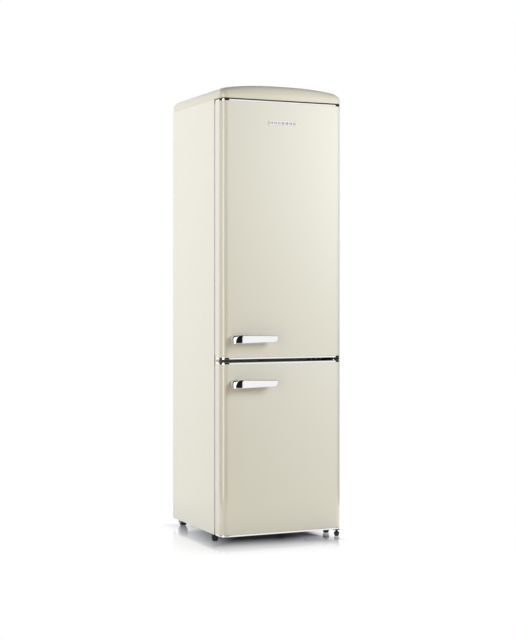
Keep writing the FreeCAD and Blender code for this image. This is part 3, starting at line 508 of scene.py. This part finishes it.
def wrapped_band(name, low, high, thickness, rear, roll, spread):
    """A sheet that wraps the door's front, its upper and lower edges rolled over."""
    inner = door_outline(thickness, rear, spread)
    bends = [math.radians(angle) for angle in (0, 30, 60, 90)]
    levels = [(roll * (1 - math.sin(bend)), roll * (1 - math.cos(bend))) for bend in bends]
    rows = [(inset, low + rise) for inset, rise in levels]
    rows += [(inset, high - rise) for inset, rise in reversed(levels)]
    loops = [[(x, y, height) for x, y in door_outline(inset, rear, spread)] for inset, height in rows]
    loops += [[(x, y, height) for x, y in inner] for height in (high - 0.01, low + 0.01)]
    count = len(inner)
    points = [point for loop in loops for point in loop]
    faces = grid_faces(len(loops), count, True, False)
    for end in (0, count - 1):
        faces.append(tuple(row * count + end for row in range(len(loops))))
    return mesh_of(name, points, faces)


def make_doors():
    for door, (low, high) in DOORS.items():
        skin = wrapped_band(door + "_skin_rolled", low + TRIM, high - TRIM, thickness=1.0,
                            rear=DOOR_BACK, roll=0.9, spread=CORNER)
        piece(door + "_skin_rolled", skin, [door + "_skin"])
        strip_rear = box_of(door + "_trims")[1][1]
        strips = [wrapped_band("strip", bottom, top, thickness=3.0, rear=strip_rear, roll=0.7, spread=34)
                  for bottom, top in ((low, low + TRIM), (high - TRIM, high))]
        piece(door + "_bright_strips", joined(door + "_bright_strips", strips), [door + "_trims"])


# ---------------------------------------------------------------- cap

COLUMNS = 28
ARC_STEPS = 10


def arch(x):
    """Height of the cap's top across its width, flatter in the middle than at the sides."""
    drop = 21
    return PEAK - drop * abs(x / HALF) ** 2.6


def cap_end(sign, y, side_x, radius):
    """Half of the cap's plan: an end face between its two rounded corners, as (x, y, share of side)."""
    arc = []
    for step in range(1, ARC_STEPS + 1):
        angle = math.pi / 2 * step / ARC_STEPS
        arc.append((side_x - radius + radius * math.sin(angle), y + sign * radius * (1 - math.cos(angle)),
                    math.sin(angle) ** 2))
    places = [(-sign * x, place_y, share) for x, place_y, share in reversed(arc)]
    for column in range(COLUMNS + 1):
        places.append((sign * (side_x - radius) * (2 * column / COLUMNS - 1), y, 0))
    return places + [(sign * x, place_y, share) for x, place_y, share in arc]


def make_cap():
    """The cap: low straight sides that roll over into a top arched across its width."""
    roll_steps, side_roll = 14, 20
    front_shoulder, side_shoulder = 1806, 1814
    loops = []
    for row in range(roll_steps + 2):
        bend = math.pi / 2 * max(0, row - 1) / roll_steps
        run, rise = 1 - math.cos(bend), 1 - math.sin(bend)
        loop = []
        for sign, edge, depth, corner in ((1, FRONT, 36, CORNER), (-1, REAR, 40, 6)):
            radius = corner - min(8, corner / 4) * run
            for x, y, side_share in cap_end(sign, edge + sign * depth * run, HALF - side_roll * run, radius):
                shoulder = lerp(front_shoulder, side_shoulder, side_share)
                height = arch(x) - (arch(x) - shoulder) * rise
                loop.append((x, y, height if row else CAP_LOW))
        loops.append(loop)
    count = len(loops[0])
    half = count // 2
    points = [point for loop in loops for point in loop]
    faces = [tuple(range(count)), *grid_faces(len(loops), count, False, True)]
    last = (len(loops) - 1) * count
    for column in range(COLUMNS):
        front = ARC_STEPS + column
        rear = half + ARC_STEPS + COLUMNS - column
        faces.append((last + front, last + front + 1, last + rear - 1, last + rear))
    for start in (ARC_STEPS + COLUMNS, half + ARC_STEPS + COLUMNS):
        faces.append(tuple(last + (start + step) % count for step in range(2 * ARC_STEPS + 2)))
    piece("top_cover_rolled", mesh_of("top_cover_rolled", points, faces), ["top_cover"], sharp=50)


# ---------------------------------------------------------------- handles

# The lever, which is the same on both doors. A crease parts its rolled root from its bar.
(LEVER_LEFT, LEVER_FACE, LEVER_LOW), (LEVER_TIP, LEVER_FOOT, LEVER_HIGH) = box_of("fridge_door_handle")
LEVER_HEIGHT = LEVER_HIGH - LEVER_LOW
LEVER_TAPER = 4
TIP_HEIGHT = LEVER_HEIGHT - 2 * LEVER_TAPER
CREASE = -194.5


def lever_front(share, width):
    """Plan of the rolled end of a lever's front, as runs left of the crease and back from it."""
    flat_low, flat_loss = 27.5, 18
    corner, corner_space, depth = 3, 4, 35
    slope_steps, corner_steps = 8, 10
    flat = flat_low - flat_loss * share ** 3
    points = []
    left, back = 0.0, 0.0
    for run, first_slope, last_slope in ((flat, 2, 34), (width - flat - corner_space, 36, 46)):
        for step in range(slope_steps):
            slope = math.radians(lerp(first_slope, last_slope, (step + 0.5) / slope_steps))
            left += run / slope_steps
            back += run / slope_steps * math.tan(slope)
            points.append((left, back))
    corner_left, corner_back = left + corner, back + corner * math.tan(math.radians(last_slope))
    for step in range(1, corner_steps + 1):
        along = step / corner_steps
        start_share, middle_share, end_share = (1 - along) ** 2, 2 * along * (1 - along), along ** 2
        points.append((start_share * left + middle_share * corner_left + end_share * (width + 1),
                       start_share * back + middle_share * corner_back + end_share * depth))
    return points


def inset_loop(loop, distance):
    """Pull a closed plan outline inwards by a small distance."""
    moved = []
    for before, place, after in zip(loop[-1:] + loop[:-1], loop, loop[1:] + loop[:1]):
        along = (Vector(after) - Vector(before)).normalized()
        moved.append((place[0] - along.y * distance, place[1] + along.x * distance))
    return moved


def lever_plan(share):
    """Plan of a lever at a share of its height, counter-clockwise seen from above."""
    root_corner, root_shoulder, root_width = 13, 10, 34
    tip_lower_corner, tip_upper_corner = 17, 5
    fillet, nose, bar_back = 12, 2, LEVER_FACE + 9
    behind = LEVER_FOOT + 4
    top_gap = LEVER_HEIGHT * (1 - share)
    left = LEVER_LEFT + pulled_in(root_corner, top_gap)
    tip = LEVER_TIP - pulled_in(tip_lower_corner, TIP_HEIGHT * share)
    tip -= pulled_in(tip_upper_corner, TIP_HEIGHT * (1 - share))
    lean = pulled_in(root_shoulder, top_gap) / root_width
    plan = [(left - 1, behind)]
    for x, y in reversed(lever_front(share, CREASE - left)):
        plan.append((CREASE - x, min(LEVER_FACE + y + lean * x, LEVER_FOOT + 3)))
    plan += [(lerp(CREASE, tip - nose, step / 10), LEVER_FACE) for step in range(11)]
    for centre_y, start in ((LEVER_FACE + nose, -90), (bar_back - nose, 0)):
        for step in range(1, 6):
            angle = math.radians(start + 90 * step / 5)
            plan.append((tip - nose + nose * math.cos(angle), centre_y + nose * math.sin(angle)))
    inner = CREASE + fillet
    plan += [(lerp(tip - nose, inner, step / 10), bar_back) for step in range(1, 11)]
    for step in range(1, 7):
        angle = math.radians(90 * step / 6)
        plan.append((inner - fillet * math.sin(angle), bar_back + fillet - fillet * math.cos(angle)))
    plan.append((CREASE, behind))
    return plan


def make_handle(door):
    """A lever built up of plan outlines: a rolled root on the door and a bar that tapers to its tip."""
    (_, _, low), (_, _, high) = box_of(door + "_handle")
    roll, bedded, tip_length, middle_steps = 3.2, LEVER_FOOT + 0.7, 20, 14
    taper_length = LEVER_TIP - tip_length - CREASE
    edge = [0.0, 0.25, 0.7, 1.3, 2.0, 2.6, roll]
    levels = edge + [lerp(roll, LEVER_HEIGHT - roll, step / middle_steps) for step in range(1, middle_steps)]
    levels += [LEVER_HEIGHT - level for level in reversed(edge)]
    loops = []
    for level in levels:
        inset = pulled_in(roll, min(level, LEVER_HEIGHT - level))
        loop = []
        for x, y in inset_loop(lever_plan(level / LEVER_HEIGHT), inset):
            narrowing = LEVER_TAPER * max(0.0, min(1.0, (x - CREASE) / taper_length))
            height = lerp(low + narrowing, high - narrowing, level / LEVER_HEIGHT)
            loop.append((x, min(y, bedded), height))
        loops.append(loop)
    name = door + "_lever"
    piece(name, rings(name, loops), [door + "_handle"], sharp=40)


# ---------------------------------------------------------------- seals, bins and drawers

def make_seals():
    """Magnetic door seals: a bellows profile swept round, with side fins that close the seam."""
    profile = ((0, 0), (0.6, 1.4), (3, 1.9), (3, 3.9), (0.5, 4.6), (0, 7), (0.5, 10.4), (2, 11.7), (16, 11.7),
               (17.5, 10.4), (18, 7), (17.5, 4.6), (15, 3.9), (15, 1.9), (17.4, 1.4), (18, 0))
    fin_inner, fin_outer, fin_depth, fin_gap = 242.5, 268.5, 11.4, 2
    for door in DOORS:
        (left, _, low), (right, _, high) = box_of(door + "_seal")
        loops = []
        for inset, rise in profile:
            corner = max(4 - inset, 1)
            outline = rounded(left + inset, right - inset, low + inset, high - inset, corner, corner)
            loops.append([(x, DOOR_BACK + rise, z) for x, z in outline])
        meshes = [rings("seal", loops + loops[:1], ends=False)]
        for side in (-1, 1):
            edges = sorted((side * fin_inner, side * fin_outer))
            meshes.append(block((*edges, DOOR_BACK, DOOR_BACK + fin_depth), low + fin_gap, high - fin_gap))
        piece(door + "_gasket", joined(door + "_gasket", meshes), [door + "_seal"], sharp=50)


def tub_rows(low, high, wall):
    """Rows of an open tub: up the outside to a rolled rim and down the inside to its floor."""
    return [(6, low), (2.4, low + 0.8), (1.6, low + 3), (1.3, high - 9), (0.3, high - 8), (0, high - 7),
            (0, high - 1), (0.7, high), (wall + 0.2, high), (wall + 0.8, high - 1), (wall + 1.1, high - 8),
            (wall + 1.6, low + 5), (wall + 2.4, low + 3.4), (wall + 6, low + wall)]


def make_bins():
    for name in ("door_bin_bottom", "door_bin_middle", "door_bin_top"):
        (left, front, low), (right, rear, high) = box_of(name)
        tub = moulded(name, (left, right, front, rear), (2, 14), tub_rows(low, high, 2))
        rib_heights = [(low + high) / 2 + offset for offset in (-10, 0, 10)]
        ribs = [block((left + 40, right - 40, rear - 0.6, rear + 0.6), height, height + 3, 0.5, 0.5)
                for height in rib_heights]
        piece(name + "_moulded", joined(name + "_moulded", [tub, *ribs]), [name], sharp=50)


def make_drawers():
    grip_depth = 10
    for name in ("crisper_drawer", "freezer_drawer_bottom", "freezer_drawer_middle", "freezer_drawer_top"):
        (_, grip_front, low), (half, rear, high) = box_of(name)
        front = grip_front + grip_depth
        tub = moulded(name, (-half, half, front, rear), (8, 8), tub_rows(low, high, 2))
        grip = [block((-70, 70, grip_front, front + 1), high - 14, high - 9, 2, 1.2),
                block((-70, 70, grip_front, grip_front + 3), high - 30, high - 11, 1, 1.0)]
        border = [block((-half + 14, half - 14, front - 0.6, front + 1), height, height + 3, 0.6, 0.6)
                  for height in (low + 14, high - 44)]
        border += [block((side - 1.5, side + 1.5, front - 0.6, front + 1), low + 15, high - 42, 0.6, 0.6)
                   for side in (-half + 15.5, half - 15.5)]
        piece(name + "_moulded", joined(name + "_moulded", [tub, *grip, *border]), [name], sharp=50)


# ---------------------------------------------------------------- feet, rollers, screws and knob

def make_turned_parts():
    foot = ((0.5, 0), (9, 0), (10.8, 0.6), (11.8, 2.2), (12.4, 8), (13.5, 9.5), (13.5, 12), (13.5, 19),
            (13.5, 21.5), (12.4, 23.2), (7, 24), (4, 24.3), (4, 33), (0.5, 33))
    for name in ("foot_left", "foot_right"):
        x, y, _ = middle_of(name)
        mesh = turned(name, (x, y, 0), foot, segments=120, flutes=30, depth=0.8, fluted=(9.5, 21.5))
        piece(name + "_knurled", mesh, [name])
    slim = [(0.5, 0), (7.2, 0), (8.4, 0.8), (9.2, 2.4), (11, 8), (11, 14), (9.6, 16), (5.6, 20.4), (4, 21)]
    for turn in range(6):
        slim += [(4, 21.2 + turn), (3.5, 21.7 + turn)]
    slim += [(4, 27), (0.5, 27)]
    mesh = turned("hinge_foot", (*HINGE_AXIS, 0), slim, segments=96, flutes=24, depth=0.7, fluted=(8, 14))
    piece("hinge_foot_knurled", mesh, ["hinge_foot"])

    wheel = ((4.05, 0), (8, 0), (8.5, 1.2), (14.5, 1.6), (16, 0.2), (18.6, 0.4), (20.5, 1.8), (21, 4),
             (21, 9), (20.4, 9.8), (20.4, 14.2), (21, 15), (21, 20), (20.5, 22.2), (18.6, 23.6), (16, 23.8),
             (14.5, 22.4), (8.5, 22.8), (8, 24), (4.05, 24))
    for name in ("roller_left", "roller_right"):
        _, y, z = middle_of(name)
        mesh = turned(name, (box_of(name)[0][0], y, z), wheel, axis="x", segments=72, bored=True)
        piece(name + "_tyred", mesh, [name])

    knob = ((0.5, 0), (11, 0), (14, 0.6), (16.4, 2.2), (17.6, 4), (18, 6), (18, 12.5), (17.4, 14), (3, 14),
            (3, 30), (0.5, 30))
    x = box_of("thermostat_knob")[0][0]
    _, y, z = middle_of("thermostat_knob")
    mesh = turned("knob", (x, y, z), knob, axis="x", segments=120, flutes=24, depth=0.9, fluted=(4, 12.5))
    pointer = block((x - 0.8, x + 2, y - 1.2, y + 1.2), z + 2, z + 13, 0.8, 0.5)
    piece("thermostat_knob_fluted", joined("knob", [mesh, pointer]), ["thermostat_knob"])


def make_screws():
    radius, height = 4.5, 2.5
    heads = [screw_head((x, -156, 1798), "z", 1, radius, height) for x in (172, 196)]
    heads += [screw_head((x, -151, 25), "z", -1, radius, height) for x in (172, 196)]
    heads += [screw_head((x, -186, 738.75), "y", -1, radius, height) for x in (163, 186, 209)]
    piece("hinge_screws_crossed", joined("hinge_screws_crossed", heads), ["hinge_screws"])
    panel = box_of("rear_panel")[1][1]
    radius, height = 4.2, 1.8
    places = [(x, panel, z) for x in (-248, 248) for z in (262, 610, 960, 1310, 1560, 1770)]
    places += [(x, panel, z) for x in (-120, 0, 120) for z in (247, 1784)]
    heads = [screw_head(place, "y", 1, radius, height) for place in places]
    piece("rear_panel_screws", joined("rear_panel_screws", heads), [], "pin_steel", "cabinet")


# ---------------------------------------------------------------- cooling parts

def make_cooling():
    shell = ((0.5, 0), (58, 0), (63, 3), (67.5, 14), (70, 27), (70, 66), (71.8, 67), (72.4, 69), (71.8, 71),
             (70, 72), (69.6, 96), (65, 112), (54, 125), (36, 133.5), (16, 136), (0.5, 136))
    middle_x, middle_y, _ = middle_of("compressor")
    low = box_of("compressor")[0][2]
    plate, grommet_spacing = 69, 58
    meshes = [turned("compressor", (middle_x, middle_y, low), shell, segments=72),
              block((middle_x - plate, middle_x + plate, middle_y - plate, middle_y + plate),
                    low + 6, low + 9, 10, 0.8)]
    grommet = ((1, 0), (7, 0), (8, 1), (8, 4), (6.4, 5), (6.4, 9.4), (8, 10.4), (8, 13), (7, 14), (1, 14))
    for x in (middle_x - grommet_spacing, middle_x + grommet_spacing):
        for y in (middle_y - grommet_spacing, middle_y + grommet_spacing):
            meshes.append(turned("grommet", (x, y, low), grommet, segments=32))
    piece("compressor_shell", joined("compressor_shell", meshes), ["compressor"])

    dryer = ((0.5, 0), (3, 0), (3, 5), (5.4, 8), (9, 12), (9, 24), (8.3, 25), (8.3, 27), (9, 28), (9, 62),
             (8.3, 63), (8.3, 65), (9, 66), (9, 79), (5.4, 83), (3, 86), (3, 90), (0.5, 90))
    start = box_of("filter_dryer")[0][0]
    _, y, z = middle_of("filter_dryer")
    piece("filter_dryer_crimped", turned("dryer", (start, y, z), dryer, axis="x"), ["filter_dryer"])

    (left, front, low), (right, rear, high) = box_of("evaporation_tray")
    tray = moulded("tray", (left, right, front, rear), (12, 12), tub_rows(low, high, 1.6))
    piece("evaporation_tray_moulded", tray, ["evaporation_tray"], sharp=50)

    prong = ((0.5, 0), (2, 0), (2, 13), (1, 15), (0.4, 15))
    prongs = [turned("prong", (136 + offset, 272, 44 + lift), prong, axis="y", segments=20)
              for offset, lift in ((-6, 0), (6, 0), (0, 4))]
    softened("mains_inlet", 0.8, prongs)
    lid = [block((-1, 1.2, 184, 218), 96, 128, 1, 0.5), screw_head((17, 201, 134), "z", 1, 3.4, 1.4)]
    softened("relay_box", 1.4, lid)


# ---------------------------------------------------------------- every other part

ROLLED_EDGES = {
    "side_panel_left": 0.35, "side_panel_right": 0.35, "base_plate": 0.5, "front_frame": 0.6, "badge": 0.5,
    "glass_shelf_bottom": 0.9, "glass_shelf_middle": 0.9, "glass_shelf_top": 0.9, "crisper_cover": 0.9,
    "shelf_trims": 1.6, "lamp_housing": 2.0, "fridge_door_end_caps": 0.4, "freezer_door_end_caps": 0.4,
    "fridge_door_liner": 0.7, "freezer_door_liner": 0.7, "freezer_liner": 0.7, "top_hinge": 0.6,
    "lower_hinge": 0.7, "hinge_pins": 0.5, "roller_brackets": 0.4, "roller_axles": 0.6,
    "wall_spacers": 1.5,
}


def make_other_parts():
    for node, width in ROLLED_EDGES.items():
        softened(node, width)
    gutter = [block((-190, 190, 234, 243.5), 1010, 1016, 2, 1.5),
              block((-190, 190, 234, 237), 1010, 1024, 1, 1)]
    softened("fridge_liner", 0.7, gutter)
    ridges = [block((186, 188, y, y + 3), 1620, 1680, 0.9, 0.9) for y in range(0, 51, 6)]
    softened("lamp_cover", 0.8, ridges)
    channels = [block((x - 4, x + 4, -60, 224), level, level + 1.6, 4, 1.2)
                for level in (292.6, 492.6) for x in range(-180, 181, 40)]
    softened("freezer_evaporator", 0.8, channels)
    beads = [block((-190, 190, 291.5, 293.2), height, height + 14, 0.8, 0.8)
             for height in range(420, 1600, 190)]
    softened("rear_panel", 0.3, beads)
    collar = ((4, 0), (9, 0), (10, 0.6), (10, 3.6), (9, 4.2), (4, 4.2))
    collars = [turned("collar", (*HINGE_AXIS, low), collar, bored=True) for low in (732.4, 740.9)]
    softened("middle_hinge", 0.6, collars)
    gap_low, gap_high = DOORS["freezer_door"][1], DOORS["fridge_door"][0]
    # Painted shade: a grey rubber strip on the frame behind the gap between the doors, put there to darken
    # that gap.
    gap_shade_strip = block((-262, 149, FRAME_FRONT - 2.5, FRAME_FRONT), gap_low - 8, gap_high + 8, 1, 0.8)
    piece("middle_gap_shade_strip", gap_shade_strip, [], "seal_rubber", "cabinet")
    lip_height, overlap = 6, 0.5
    for door, low in (("fridge_door", gap_high + overlap - lip_height), ("freezer_door", gap_low - overlap)):
        lip = block((-HALF, 3 - HALF, -232, DOOR_BACK), low, low + lip_height, 0.8, 0.6)
        piece(door + "_side_lip", lip, [], "cream_moulding", door)


make_camera()
make_world()
make_floor()
for light in LIGHTS:
    make_light(*light)
make_materials()
for node, item in frame["nodes"].items():
    item.data.materials.clear()
    item.data.materials.append(MATERIALS[SLOT_OF[node]])
make_doors()
make_cap()
for door in DOORS:
    make_handle(door)
make_seals()
make_bins()
make_drawers()
make_turned_parts()
make_screws()
make_cooling()
make_other_parts()
scene.view_settings.view_transform = "Standard"
